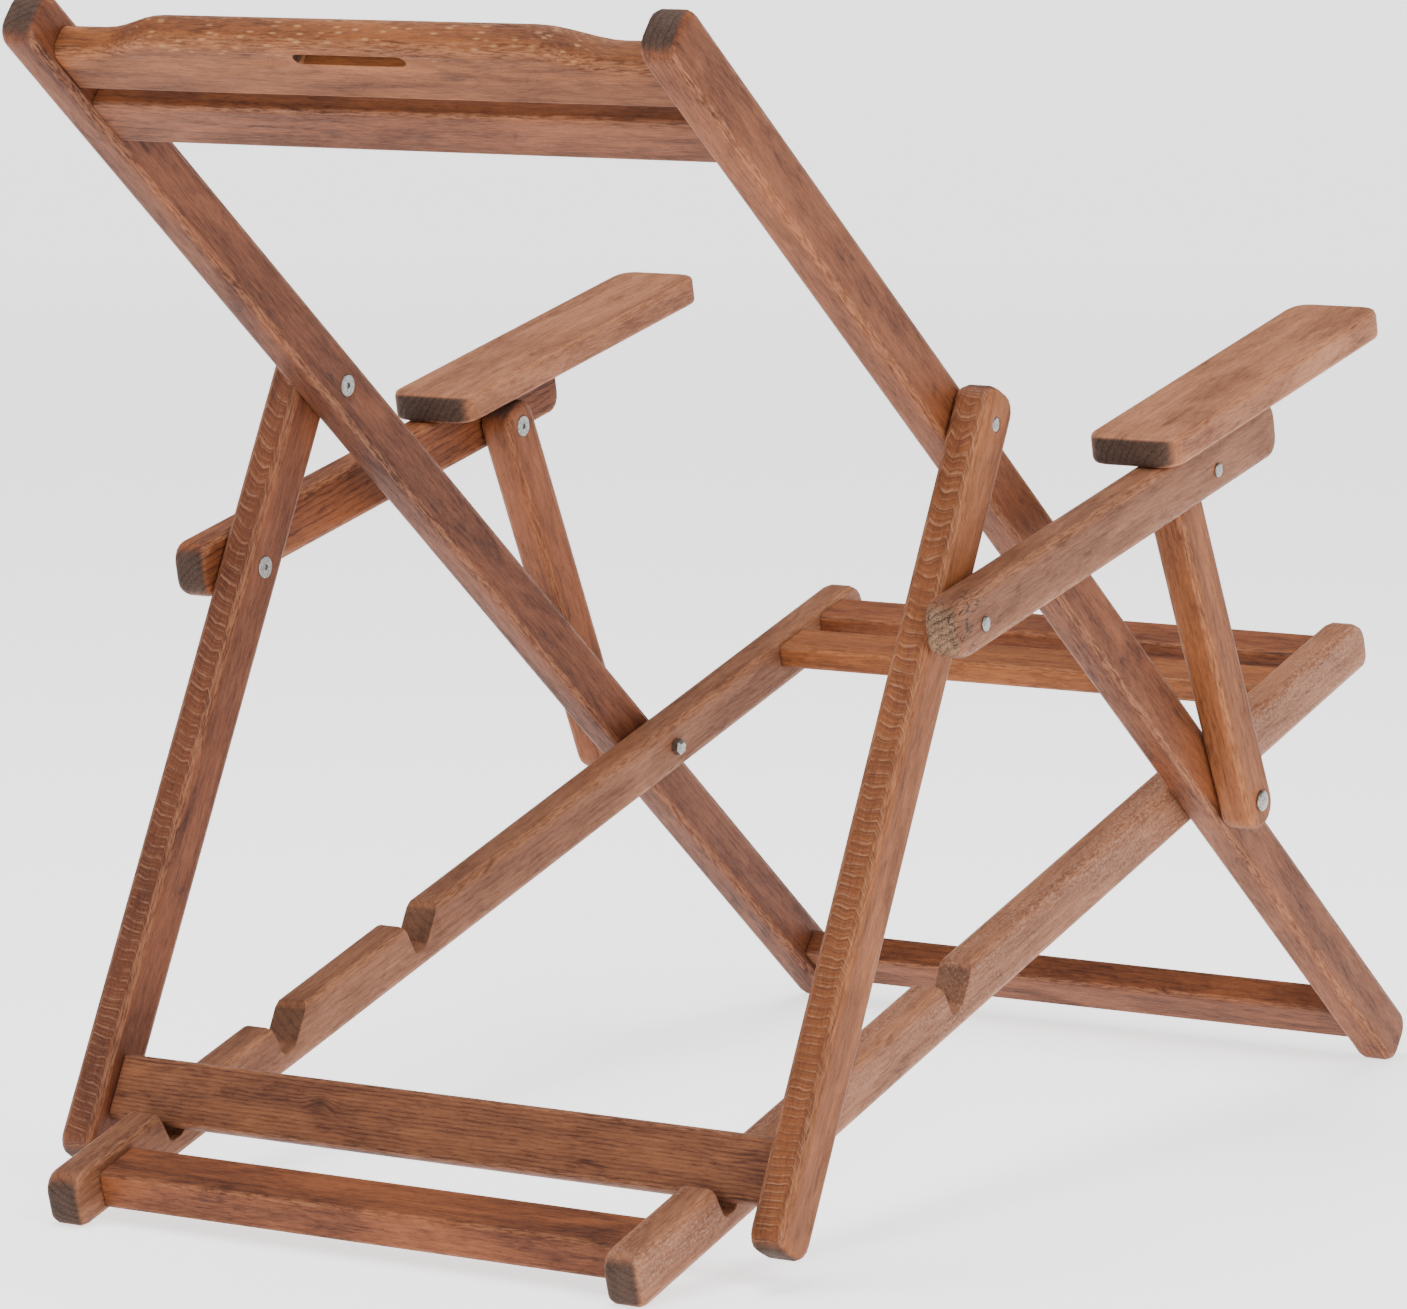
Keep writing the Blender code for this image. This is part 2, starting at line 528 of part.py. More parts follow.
# ---- arms and posts --------------------------------------------------------------------------------------
ARM_TOP = -ARM_WIDTH / 2 - ARM_PIVOT_DROP
BOARD_LOW = ARM_TOP - SEAT_GAP
for label, side in SIDES:
    pins = [BOARD_START + BOARD_PINS[0], BOARD_START + BOARD_PINS[1]]
    middle = side * (ARM_INNER + LATH / 2)
    ends = (ARM_TOP + DOWEL_DEPTH, BOARD_LOW - DOWEL_DEPTH)
    wells = (ends[0] + DOWEL_ROOM, ends[1] - DOWEL_ROOM)
    pin_holes = [upright_cylinder(middle, at, wells, DOWEL_R + SEAT_GAP) for at in pins]
    lath("arm_rail_" + label, ARM, side, ARM_INNER, (-ARM_BEHIND, ARM_TOP),
         (ARM_AHEAD, ARM_TOP + ARM_WIDTH), [END_ROUND] * 4,
         [bore(ARM_INNER, side), bore(ARM_INNER, side, ARM_LINK)] + pin_holes)
    near, far = sorted((side * BOARD_INNER, side * BOARD_OUTER))
    board = add_object("arm_board_" + label,
                       slab((near, BOARD_START), (far, BOARD_START + BOARD_LENGTH), [BOARD_ROUND] * 4,
                            BOARD_LOW - BOARD_THICK, BOARD_LOW, BOARD_EDGE, through), TIMBER, ARM)
    cut(board, [upright_cylinder(middle, at, wells, DOWEL_R + SEAT_GAP) for at in pins])
    for place, at in zip(("rear", "front"), pins):
        pin = upright_cylinder(middle, at, ends, DOWEL_R)
        add_object("dowel_board_" + place + "_" + label, pin, DOWEL_WOOD, ARM)
    lath("post_" + label, POST, side, LEG_INNER, (-POST_ABOVE, -POST_WIDTH / 2),
         (POST_LINK + POST_BEYOND, POST_WIDTH / 2), [POST_ROUND] * 4,
         [bore(LEG_INNER, side, POST_LINK), nut_bore(LEG_INNER, side, 0)])

# ---- bolts and nuts --------------------------------------------------------------------------------------
HUB_STUDS = pivot_empty("post_foot", POST, POST_LINK)
FRONT_BOLTS = pivot_empty("front_pivot", ARM, ARM_LINK)
LEG_BOLTS = pivot_empty("leg_pivot", BACK, LEG_PIVOT)
ARM_BOLTS = pivot_empty("arm_pivot", SUPPORT, ARM_PIVOT)
for label, side in SIDES:
    bolt("bolt_hub_" + label, BACK, side, BACK_OUTER - SUNK - HEAD_DOME, SEAT_INNER - HUB_NUT_LENGTH / 2,
         HEAD_R, HEAD_DOME)
    hub_nut("nut_hub_" + label, BACK, side, SEAT_INNER)
    bolt("stud_hub_" + label, HUB_STUDS, side, LEG_OUTER + SEAT_GAP, LEG_INNER + SEAT_GAP,
         HUB_HEAD_R, HUB_HEAD_DOME)
    bolt("bolt_leg_" + label, LEG_BOLTS, side, LEG_OUTER + PROUD - HEAD_DOME, BACK_INNER + TIP,
         HEAD_R, HEAD_DOME)
    flanged_nut("nut_leg_" + label, LEG_BOLTS, side, BACK_INNER)
    bolt("bolt_arm_" + label, ARM_BOLTS, side, ARM_OUTER + SEAT_GAP, LEG_INNER + TIP, HEAD_R, HEAD_DOME)
    flanged_nut("nut_arm_" + label, ARM_BOLTS, side, LEG_INNER)
    bolt("bolt_front_" + label, FRONT_BOLTS, side, ARM_OUTER + SEAT_GAP, LEG_INNER + TIP, HEAD_R, HEAD_DOME)
    flanged_nut("nut_front_" + label, FRONT_BOLTS, side, LEG_INNER)

# ---- the chair stands on z = 0, centred over the origin ---------------------------------------------------
bpy.context.view_layer.update()
CORNERS = [piece.matrix_world @ vertex.co for piece in bpy.data.objects
           if piece.type == "MESH" and not piece.hide_render for vertex in piece.data.vertices]
LOWEST = min(corner.z for corner in CORNERS)
REACH = [corner.y for corner in CORNERS]
ROOT.location = (0, -(min(REACH) + max(REACH)) / 2, -LOWEST)
bpy.context.view_layer.update()
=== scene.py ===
"""The folding deck chair's looks: every lath gets fine edges and its own oiled hardwood."""
import json
import math

import bmesh
import bpy
from mathutils import Euler, Matrix, Vector


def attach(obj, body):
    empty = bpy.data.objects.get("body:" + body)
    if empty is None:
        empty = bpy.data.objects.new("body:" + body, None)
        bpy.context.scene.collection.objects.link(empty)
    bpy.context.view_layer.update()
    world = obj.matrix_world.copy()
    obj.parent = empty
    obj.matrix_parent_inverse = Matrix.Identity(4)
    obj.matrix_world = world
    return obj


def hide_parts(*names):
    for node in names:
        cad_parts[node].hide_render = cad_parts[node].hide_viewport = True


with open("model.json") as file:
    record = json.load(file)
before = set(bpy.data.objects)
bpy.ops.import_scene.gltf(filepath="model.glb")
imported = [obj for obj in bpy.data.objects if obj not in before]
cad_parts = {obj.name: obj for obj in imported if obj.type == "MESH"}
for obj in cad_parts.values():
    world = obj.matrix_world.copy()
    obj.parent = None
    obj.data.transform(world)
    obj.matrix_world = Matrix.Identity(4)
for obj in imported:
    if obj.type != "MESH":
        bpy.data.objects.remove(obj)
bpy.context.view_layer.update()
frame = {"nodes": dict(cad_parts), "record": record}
NODES = frame["nodes"]
RECORD = frame["record"]
ACROSS = Vector((1, 0, 0))

# ---- the wood: tone, ring pattern and marks of each piece --------------------------------------
# a tone is a light and a dark linear colour
REDDISH = ((0.280, 0.085, 0.028), (0.058, 0.015, 0.006))
PALE = ((0.330, 0.134, 0.064), (0.104, 0.034, 0.015))
GOLDEN = ((0.325, 0.104, 0.030), (0.076, 0.021, 0.007))
BROWN = ((0.265, 0.098, 0.041), (0.060, 0.019, 0.010))
DEEP = ((0.215, 0.064, 0.024), (0.043, 0.011, 0.005))
# marks that only some pieces have: its knots, and how strong each other mark is, from 0 to about 1; the
# shade mark is painted shade along a rail's lower side, the others are the wood's own
NO_MARKS = {"knots": (), "arcs": 0, "flecks": 0, "speckle": 0, "spalt": 0, "shade": 0}


def toned(tones, share):
    """The same wood, darker where the share is under 1 and paler where it is over 1."""
    return tuple(tuple(channel * share for channel in tone) for tone in tones)


def wood_look(tones, seed, pith=(0.09, 0.05), tilt=0.02, spacing=0.0045, rings=0.35, **marks):
    """How a piece was cut, in metres. The pith is the tree's centre line, so far off across the piece
    in two directions. Tilt is the slope between grain and pith, and bend how that slope grows. Spacing
    is from ring to ring, and rings how strongly they show. Cloudy is how strongly the tone wanders.
    A knot is its place along the piece, its place across it and its radius."""
    return {"tones": tones, "seed": seed, "pith": pith, "tilt": tilt, "bend": 0.0,
            "spacing": spacing, "rings": rings, "cloudy": 1.0, **NO_MARKS, **marks}


LOOKS = {
    "back_rail_left": wood_look(toned(DEEP, 0.88), 1, tilt=0.012, cloudy=1.2),
    "back_rail_right": wood_look(toned(REDDISH, 0.85), 2, (0.03, 0.10)),
    # painted shade: the crest rail and the lower crest bar are darker along their lower side
    "crest_rail": wood_look(toned(GOLDEN, 0.88), 3, (0.02, 0.12), 0.015, flecks=0.9, shade=0.35,
                            cloudy=1.2, knots=((-0.071, 0.002, 0.0045), (-0.168, 0.003, 0.0030))),
    "lower_crest_bar": wood_look(toned(REDDISH, 0.82), 4, (0.05, 0.08), shade=0.25, cloudy=1.1,
                                 knots=((0.049, 0.002, 0.0040),)),
    "foot_rail": wood_look(toned(REDDISH, 0.82), 5, (0.02, 0.07), 0.03),
    "seat_rail_left": wood_look(toned(PALE, 0.84), 6, (0.06, 0.03), knots=((0.035, 0.004, 0.0030),)),
    "seat_rail_right": wood_look(PALE, 7, (0.08, 0.04), 0.015, speckle=0.7),
    "front_slat": wood_look(REDDISH, 8, (0.04, 0.06), 0.03),
    "second_slat": wood_look(GOLDEN, 9, (0.05, 0.05), 0.03),
    "rear_rail": wood_look(REDDISH, 10, (0.03, 0.06), 0.03, cloudy=1.3),
    "support_leg_left": wood_look(DEEP, 11, (0.100, 0.006), 0.17, 0.0014, 0.9, bend=0.12, arcs=0.8),
    "support_leg_right": wood_look(GOLDEN, 12, (0.088, 0.0), 0.20, 0.0015, 0.9, bend=0.175, arcs=1.0),
    "support_bar": wood_look(BROWN, 13, (0.30, 0.02), 0.004, 0.0028, 0.8,
                             knots=((0.089, -0.005, 0.0030),)),
    "arm_rail_left": wood_look(REDDISH, 14, (0.05, 0.05), 0.03, 0.004, 0.9),
    "arm_rail_right": wood_look(toned(PALE, 0.80), 15, (0.08, 0.05), spalt=1.0),
    # painted light: the arm boards take the pale tone made paler still, for the light that falls on their
    # upward faces
    "arm_board_left": wood_look(toned(PALE, 1.22), 16, (0.06, 0.09), 0.012, rings=0.25),
    "arm_board_right": wood_look(toned(PALE, 1.24), 17, (0.06, 0.10), 0.012, rings=0.25),
    "post_left": wood_look(REDDISH, 18, (0.03, 0.06), 0.03),
    "post_right": wood_look(GOLDEN, 19, (0.04, 0.05)),
}
CROSS_PIECES = ("crest_rail", "lower_crest_bar", "foot_rail", "front_slat", "second_slat",
                "rear_rail", "support_bar")


# ---- shader helpers -------------------------------------------------------------------------------
class Shader:
    """Short calls for building a node tree."""

    def __init__(self, name):
        self.material = bpy.data.materials.new(name)
        self.material.use_nodes = True
        self.tree = self.material.node_tree
        self.surface = self.tree.nodes["Principled BSDF"]

    def put(self, socket, value):
        """Links a socket to another, or gives it a value; None leaves it alone."""
        if isinstance(value, bpy.types.NodeSocket):
            self.tree.links.new(value, socket)
        elif value is not None:
            socket.default_value = value

    def give(self, name, value):
        """Puts a value on the surface shader's own socket."""
        self.put(self.surface.inputs[name], value)

    def node(self, kind, **settings):
        result = self.tree.nodes.new(kind)
        for key, value in settings.items():
            setattr(result, key, value)
        return result

    def math(self, operation, a, b=None, c=None, clamp=False):
        node = self.node("ShaderNodeMath", operation=operation, use_clamp=clamp)
        for socket, value in zip(node.inputs, (a, b, c)):
            self.put(socket, value)
        return node.outputs[0]

    def times(self, first, *others):
        for other in others:
            first = self.math("MULTIPLY", first, other)
        return first

    def plus(self, base, pattern, share):
        return self.math("MULTIPLY_ADD", pattern, share, base)

    def vector(self, operation, a, b=None):
        node = self.node("ShaderNodeVectorMath", operation=operation)
        self.put(node.inputs[0], a)
        self.put(node.inputs[1], b)
        return node.outputs["Value" if operation in ("LENGTH", "DOT_PRODUCT") else "Vector"]

    def attribute(self, name, output):
        return self.node("ShaderNodeAttribute", attribute_name=name).outputs[output]

    def own(self, output):
        """The point's place ("Object") or facing ("Normal") in the object's own axes."""
        return self.node("ShaderNodeTexCoord").outputs[output]

    def split(self, vector):
        node = self.node("ShaderNodeSeparateXYZ")
        self.put(node.inputs[0], vector)
        return node.outputs

    def join(self, x, y, z):
        node = self.node("ShaderNodeCombineXYZ")
        for socket, value in zip(node.inputs, (x, y, z)):
            self.put(socket, value)
        return node.outputs[0]

    def noise(self, vector, waves, detail=2.0, roughness=0.5, distortion=0.0):
        """Noise with so many waves to a unit along each axis."""
        node = self.node("ShaderNodeTexNoise")
        for key, value in (("Vector", self.vector("MULTIPLY", vector, waves)), ("Scale", 1.0),
                           ("Detail", detail), ("Roughness", roughness), ("Distortion", distortion)):
            self.put(node.inputs[key], value)
        return node.outputs["Fac"]

    def cells(self, vector, feature="F1"):
        """Distance from the middle of the nearest of many cells a unit wide, or from its edge."""
        node = self.node("ShaderNodeTexVoronoi", feature=feature)
        self.put(node.inputs["Vector"], vector)
        self.put(node.inputs["Scale"], 1.0)
        return node.outputs["Distance"]

    def ramp(self, value, low, high, to_low=0.0, to_high=1.0):
        """A smooth way from to_low to to_high as the value goes from low to high."""
        node = self.node("ShaderNodeMapRange", interpolation_type="SMOOTHSTEP")
        for key, number in (("Value", value), ("From Min", low), ("From Max", high),
                            ("To Min", to_low), ("To Max", to_high)):
            self.put(node.inputs[key], number)
        return node.outputs["Result"]

    def spread(self, vector, waves, low, high, **settings):
        """Noise spread out so that low becomes 0 and high becomes 1."""
        return self.ramp(self.noise(vector, waves, **settings), low, high)

    def mix(self, factor, a, b):
        node = self.node("ShaderNodeMix", data_type="RGBA")
        self.put(node.inputs["Factor"], factor)
        for socket, value in ((node.inputs[6], a), (node.inputs[7], b)):
            self.put(socket, (*value, 1) if isinstance(value, tuple) else value)
        return node.outputs[2]

    def bump(self, height, strength, distance):
        node = self.node("ShaderNodeBump")
        self.put(node.inputs["Height"], height)
        self.put(node.inputs["Strength"], strength)
        self.put(node.inputs["Distance"], distance)
        return node.outputs["Normal"]


# ---- oiled hardwood --------------------------------------------------------------------------------
# waves or cells in a metre along the grain and, twice, across it
SWAY_WAVES = (5, 14, 14)
UNEVEN_WAVES = (34, 60, 60)
BROKEN_WAVES = (40, 150, 150)
FIBRE_WAVES = (85, 760, 760)
STREAK_WAVES = (4, 130, 130)
CLOUD_WAVES = (9, 34, 34)
BLOTCH_WAVES = (22, 70, 70)
PORE_CELLS = (110, 620, 620)
RAY_CELLS = (85, 260, 260)
SPECKLE_WAVES = (330, 560, 560)
PATCH_WAVES = (5, 46, 46)
END_WAVES = (300, 700, 700)
SPALT_CELLS = (17, 46, 46)

# rings: how far the pith line sways, in metres, and how unevenly they are spaced, in turns
SWAY_WIDTH = 0.008
UNEVEN_TURNS = 1.1
# waves in a ring's number, and how much of its dark wood each ring has at least and may have more
YEAR_WAVES = (1.7, 1.7, 1.7)
LEAST_LATE_WOOD = 0.25
MORE_LATE_WOOD = 1.2
# knots: shape along the grain and across it, reach over radius, and how far rings swerve, in metres
KNOT_SHAPE = (0.5, 1, 0.3)
KNOT_REACH = 3
KNOT_SWERVE = 0.006

# how far each pattern takes the colour from light to dark
BASE_TONE = 0.02
CLOUD_TONE = 0.42
STREAK_TONE = 0.20
FIBRE_TONE = 0.34
BLOTCH_TONE = 0.30
RING_TONE = 0.42
RING_TONE_WITH_ARCS = 0.10
END_BASE_TONE = 0.05
END_SPECK_TONE = 0.55
END_RING_TONE = 0.35
END_CLOUD_TONE = 0.35

# how far each mark takes the colour to its own colour
PORE_MARK = 0.50
ARC_GROUND_MARK = 0.30
ARC_MARK = 0.40
FLECK_MARK = 0.42
SPECKLE_MARK = 0.6
KNOT_RIM_MARK = 0.50
KNOT_HEART_MARK = 0.8
SPALT_MARK = 0.85
RUBBED_MARK = 0.28
PAINTED_JOINT_SHADE_MARK = 0.6

# where some marks begin and where they are whole, in metres: across the piece, or along it for spalt; the
# first band is painted shade
PAINTED_SHADE_BAND = (-0.004, 0.024)
FLECK_BAND = (-0.012, -0.019)
SPALT_BAND = (0.165, 0.200)
# arcs: lines to a ring and their strength, for thick lines and for thin ones among them
ARC_KINDS = ((1.0, 1.0), (2.37, 0.55))

# spalt: how far its web wanders, in cells, and its lines' half width, whole and fading, in cells
SPALT_WANDER = 0.6
SPALT_LINE = (0.008, 0.034)

FLECK = (0.56, 0.30, 0.13)
DUST = (0.46, 0.28, 0.21)
RUBBED = (0.44, 0.200, 0.100)
# near black for a knot's heart and spalt lines, and for the painted shade where rails butt against laths
SOOT_AND_SHADE = (0.020, 0.009, 0.006)
END_LIGHT = (0.085, 0.045, 0.030)
END_DARK = (0.024, 0.012, 0.008)
SPALT_LIGHT = (0.30, 0.170, 0.095)
ARC_GROUND = (0.075, 0.024, 0.012)
ARC_BAND = (0.055, 0.017, 0.009)
ARC_LINE = (0.40, 0.200, 0.110)
# how dark a pore and a knot's rim are, over the wood's dark tone
PORE_SHARE = 0.45
KNOT_SHARE = 0.5

WOOD_SPECULAR = 0.20
WOOD_ROUGHNESS = 0.48
FIBRE_ROUGHNESS = 0.12
CLOUD_ROUGHNESS = 0.08
END_ROUGHNESS = 0.15
FIBRE_HEIGHT = 0.5
RING_HEIGHT = 0.3
PORE_HEIGHT = 0.6
WOOD_BUMP = 0.45
WOOD_BUMP_DEPTH = 0.0005
# how far apart two pieces lie in the same endless wood, for each step of the seed
SEED_STEP = (3.7, 1.3, 2.1)


def darker(colour, share):
    return tuple(channel * share for channel in colour)


def knot_field(s, grain, look):
    """1 at the middle of the piece's knots, falling to 0 some way round them; None without knots."""
    field = None
    for place, side, size in look["knots"]:
        offset = s.vector("MULTIPLY", s.vector("SUBTRACT", grain, (place, side, 0)), KNOT_SHAPE)
        near = s.ramp(s.vector("LENGTH", offset), 0, size * KNOT_REACH, 1, 0)
        field = near if field is None else s.math("MAXIMUM", field, near)
    return field


def growth_rings(s, grain, shifted, look, knots):
    """Turns of the growth rings: cylinders round a pith line that leans and bends away from the grain."""
    along, wide, deep = s.split(grain)
    lean = s.plus(look["pith"][0], along, look["tilt"])
    lean = s.plus(lean, s.times(along, along), look["bend"])
    sway = s.plus(-SWAY_WIDTH / 2, s.noise(shifted, SWAY_WAVES, 3), SWAY_WIDTH)
    beside = s.math("ADD", s.math("ADD", deep, look["pith"][1]), sway)
    radius = s.vector("LENGTH", s.join(s.math("ADD", lean, wide), beside, 0.0))
    if knots is not None:
        radius = s.plus(radius, knots, KNOT_SWERVE)
    turns = s.math("DIVIDE", radius, look["spacing"])
    return s.plus(turns, s.noise(shifted, UNEVEN_WAVES, 2), UNEVEN_TURNS)


def late_wood(s, turns, seed):
    """The dark end of each ring, in some years darker than in others."""
    phase = s.math("FRACT", turns)
    late = s.times(s.ramp(phase, 0.45, 0.92), s.ramp(phase, 0.93, 1.0, 1, 0))
    year = s.noise(s.join(s.math("FLOOR", turns), 0.5, seed), YEAR_WAVES, 0)
    return s.times(late, s.plus(LEAST_LATE_WOOD, year, MORE_LATE_WOOD))


class Figure:
    """The wood at a point: its place in the piece, how it faces, the turns of its rings, and its
    patterns, each from 0 to 1."""

    def __init__(self, s, look, axes):
        normal = s.own("Normal")
        end_face, self.wide_face, self.deep_face = [
            s.math("ABSOLUTE", s.vector("DOT_PRODUCT", normal, tuple(axis))) for axis in axes]
        self.end = s.ramp(end_face, 0.50, 0.92)

        grain = s.attribute("grain", "Vector")
        self.along, self.wide, _ = s.split(grain)
        self.shifted = s.vector("ADD", grain, tuple(look["seed"] * step for step in SEED_STEP))
        self.knots = knot_field(s, grain, look)
        self.turns = growth_rings(s, grain, self.shifted, look, self.knots)
        self.late = late_wood(s, self.turns, look["seed"])

        self.fibre = s.spread(self.shifted, FIBRE_WAVES, low=0.32, high=0.68, detail=4,
                              roughness=0.75)
        self.streak = s.spread(self.shifted, STREAK_WAVES, low=0.30, high=0.70, detail=4,
                               roughness=0.62, distortion=0.5)
        self.cloud = s.spread(self.shifted, CLOUD_WAVES, low=0.30, high=0.70, detail=4,
                              roughness=0.6, distortion=0.8)
        self.blotch = s.spread(self.shifted, BLOTCH_WAVES, low=0.52, high=0.74, detail=4,
                               roughness=0.7, distortion=1.2)
        pores = s.cells(s.vector("MULTIPLY", self.shifted, PORE_CELLS))
        self.pores = s.ramp(pores, 0.06, 0.26, 1, 0)


def wood_tone(s, look, figure):
    """Clouds, streaks, fibres, blotches and rings between the light and the dark tone, and pores."""
    light, dark = look["tones"]
    ring_tone = RING_TONE_WITH_ARCS if look["arcs"] else RING_TONE
    tone = s.plus(BASE_TONE, figure.cloud, CLOUD_TONE * look["cloudy"])
    tone = s.plus(tone, figure.streak, STREAK_TONE)
    tone = s.plus(tone, figure.fibre, FIBRE_TONE)
    tone = s.plus(tone, figure.blotch, BLOTCH_TONE)
    tone = s.plus(tone, figure.late, ring_tone * look["rings"])
    colour = s.mix(s.math("ADD", tone, 0.0, clamp=True), light, dark)
    return s.mix(s.times(figure.pores, PORE_MARK), colour, darker(dark, PORE_SHARE))


def painted_side_shade(s, look, figure, colour):
    """Painted shade: a darker band along a rail's lower side, where shade falls."""
    band = s.ramp(figure.wide, *PAINTED_SHADE_BAND)
    return s.mix(s.times(band, look["shade"]), colour, look["tones"][1])


def ring_arcs(s, look, figure, colour):
    """Pale lines where rings start, thick and thin ones mixed, each with a darker band beyond it."""
    face = s.ramp(figure.wide_face, 0.40, 0.85)
    broken = s.spread(figure.shifted, BROKEN_WAVES, low=0.32, high=0.62, detail=3, roughness=0.7)
    colour = s.mix(s.times(face, ARC_GROUND_MARK), colour, ARC_GROUND)
    for lines, weight in ARC_KINDS:
        strength = ARC_MARK * look["arcs"] * weight
        phase = s.math("FRACT", s.times(figure.turns, lines))
        band = s.times(s.ramp(phase, 0.0, 0.6, 1, 0), face)
        colour = s.mix(s.times(band, strength), colour, ARC_BAND)
        line = s.times(s.ramp(phase, 0.72, 0.93), s.ramp(phase, 0.95, 1.0, 1, 0), broken, face)
        colour = s.mix(s.times(line, strength), colour, ARC_LINE)
    return colour


def ray_flecks(s, look, figure, colour):
    """Pale flecks of the wood's rays along one edge of a rail."""
    ray = s.cells(s.vector("MULTIPLY", figure.shifted, RAY_CELLS))
    ray = s.times(s.ramp(ray, 0.10, 0.34, 1, 0), s.ramp(figure.wide, *FLECK_BAND),
                  s.ramp(figure.streak, 0.3, 0.8, 1, 0.1))
    return s.mix(s.times(ray, look["flecks"] * FLECK_MARK), colour, FLECK)


def pale_speckle(s, look, figure, colour):
    """Fine pale spots in patches."""
    spots = s.spread(figure.shifted, SPECKLE_WAVES, low=0.46, high=0.66, detail=3, roughness=0.75)
    patch = s.spread(figure.shifted, PATCH_WAVES, low=0.34, high=0.58)
    return s.mix(s.times(spots, patch, look["speckle"] * SPECKLE_MARK), colour, DUST)


def dark_knots(s, look, figure, colour):
    """Small knots: a dark rim round a darker heart."""
    rim = s.times(s.ramp(figure.knots, 0.30, 0.80), KNOT_RIM_MARK)
    heart = s.times(s.ramp(figure.knots, 0.74, 0.92), KNOT_HEART_MARK)
    return s.mix(heart, s.mix(rim, colour, darker(look["tones"][1], KNOT_SHARE)), SOOT_AND_SHADE)


def end_grain(s, look, figure, colour):
    """End grain drinks more oil and goes darker, with pores and rings across it."""
    speck = s.spread(figure.shifted, END_WAVES, low=0.32, high=0.68, detail=4, roughness=0.75)
    tone = s.plus(END_BASE_TONE, speck, END_SPECK_TONE)
    tone = s.plus(tone, figure.late, END_RING_TONE)
    tone = s.plus(tone, figure.cloud, END_CLOUD_TONE)
    light = SPALT_LIGHT if look["spalt"] else END_LIGHT
    return s.mix(figure.end, colour, s.mix(s.math("ADD", tone, 0.0, clamp=True), light, END_DARK))


def spalt_web(s, look, figure, colour):
    """A web of black lines at the piece's rear or lower end, as fungus leaves in wood."""
    wander = s.join(s.times(figure.cloud, SPALT_WANDER), figure.streak, figure.cloud)
    web = s.cells(s.vector("ADD", s.vector("MULTIPLY", figure.shifted, SPALT_CELLS), wander),
                  "DISTANCE_TO_EDGE")
    lines = s.times(s.ramp(web, *SPALT_LINE, 1, 0), s.ramp(figure.along, *SPALT_BAND))
    return s.mix(s.times(lines, look["spalt"] * SPALT_MARK), colour, SOOT_AND_SHADE)


def wear_and_joint_shade(s, figure, colour):
    """Edges rubbed a little paler, and painted shade where a rail butts against a lath."""
    edge = s.ramp(s.times(figure.wide_face, figure.deep_face), 0.12, 0.45)
    rub = s.times(edge, s.math("SUBTRACT", 1.0, figure.end), s.ramp(figure.fibre, 0.9, 0.1))
    colour = s.mix(s.times(rub, RUBBED_MARK), colour, RUBBED)
    # painted shade: darker, in clouds, near the end of a rail that butts between two laths
    joint = s.ramp(s.attribute("joint", "Fac"), 0.0, 1.0)
    joint_shading = s.times(joint, s.ramp(figure.cloud, 0.0, 1.0, 0.55, 1.0))
    return s.mix(s.times(joint_shading, PAINTED_JOINT_SHADE_MARK), colour, SOOT_AND_SHADE)


def wood_finish(s, figure):
    """Worn oil: a low sheen, rougher on fibres and ends, over raised fibres and open pores."""
    rough = s.plus(WOOD_ROUGHNESS, figure.fibre, FIBRE_ROUGHNESS)
    rough = s.plus(rough, figure.cloud, CLOUD_ROUGHNESS)
    rough = s.plus(rough, figure.end, END_ROUGHNESS)
    height = s.math("ADD", s.times(figure.fibre, FIBRE_HEIGHT), s.times(figure.late, RING_HEIGHT))
    height = s.math("SUBTRACT", height, s.times(figure.pores, PORE_HEIGHT))
    s.give("Roughness", rough)
    s.give("Specular IOR Level", WOOD_SPECULAR)
    s.give("Normal", s.bump(height, WOOD_BUMP, WOOD_BUMP_DEPTH))


def wood_material(name, look, axes):
    """Oiled hardwood in the piece's own axes: one along the grain and two across it."""
    s = Shader("wood_" + name)
    figure = Figure(s, look, axes)
    colour = wood_tone(s, look, figure)
    for key, mark in (("shade", painted_side_shade), ("arcs", ring_arcs), ("flecks", ray_flecks),
                      ("speckle", pale_speckle), ("knots", dark_knots)):
        if look[key]:
            colour = mark(s, look, figure, colour)
    colour = end_grain(s, look, figure, colour)
    if look["spalt"]:
        colour = spalt_web(s, look, figure, colour)
    s.give("Base Color", wear_and_joint_shade(s, figure, colour))
    wood_finish(s, figure)
    return s.material


# ---- zinc and bare wood ----------------------------------------------------------------------------
ZINC_LIGHT = (0.34, 0.34, 0.33)
ZINC_DARK = (0.13, 0.13, 0.13)
ZINC_CLOUD_WAVES = (700, 700, 700)
ZINC_FINE_WAVES = (2600, 2600, 2600)
ZINC_ROUGHNESS = 0.20
ZINC_CLOUD_ROUGHNESS = 0.18
ZINC_BUMP = 0.25
ZINC_BUMP_DEPTH = 0.00005
DOWEL_LIGHT = (0.60, 0.43, 0.26)
DOWEL_DARK = (0.42, 0.27, 0.14)
DOWEL_WAVES = (60, 1400, 1400)
DOWEL_ROUGHNESS = 0.55
DOWEL_FIBRE_ROUGHNESS = 0.2


def zinc_material():
    """Bright zinc plate with a fine texture, a little dulled."""
    s = Shader("bright_zinc")
    spot = s.own("Object")
    cloud = s.noise(spot, ZINC_CLOUD_WAVES, detail=3, roughness=0.6)
    s.give("Base Color", s.mix(s.ramp(cloud, 0.3, 0.75), ZINC_LIGHT, ZINC_DARK))
    s.give("Metallic", 1.0)
    s.give("Roughness", s.plus(ZINC_ROUGHNESS, cloud, ZINC_CLOUD_ROUGHNESS))
    s.give("Normal", s.bump(s.noise(spot, ZINC_FINE_WAVES), ZINC_BUMP, ZINC_BUMP_DEPTH))
    return s.material


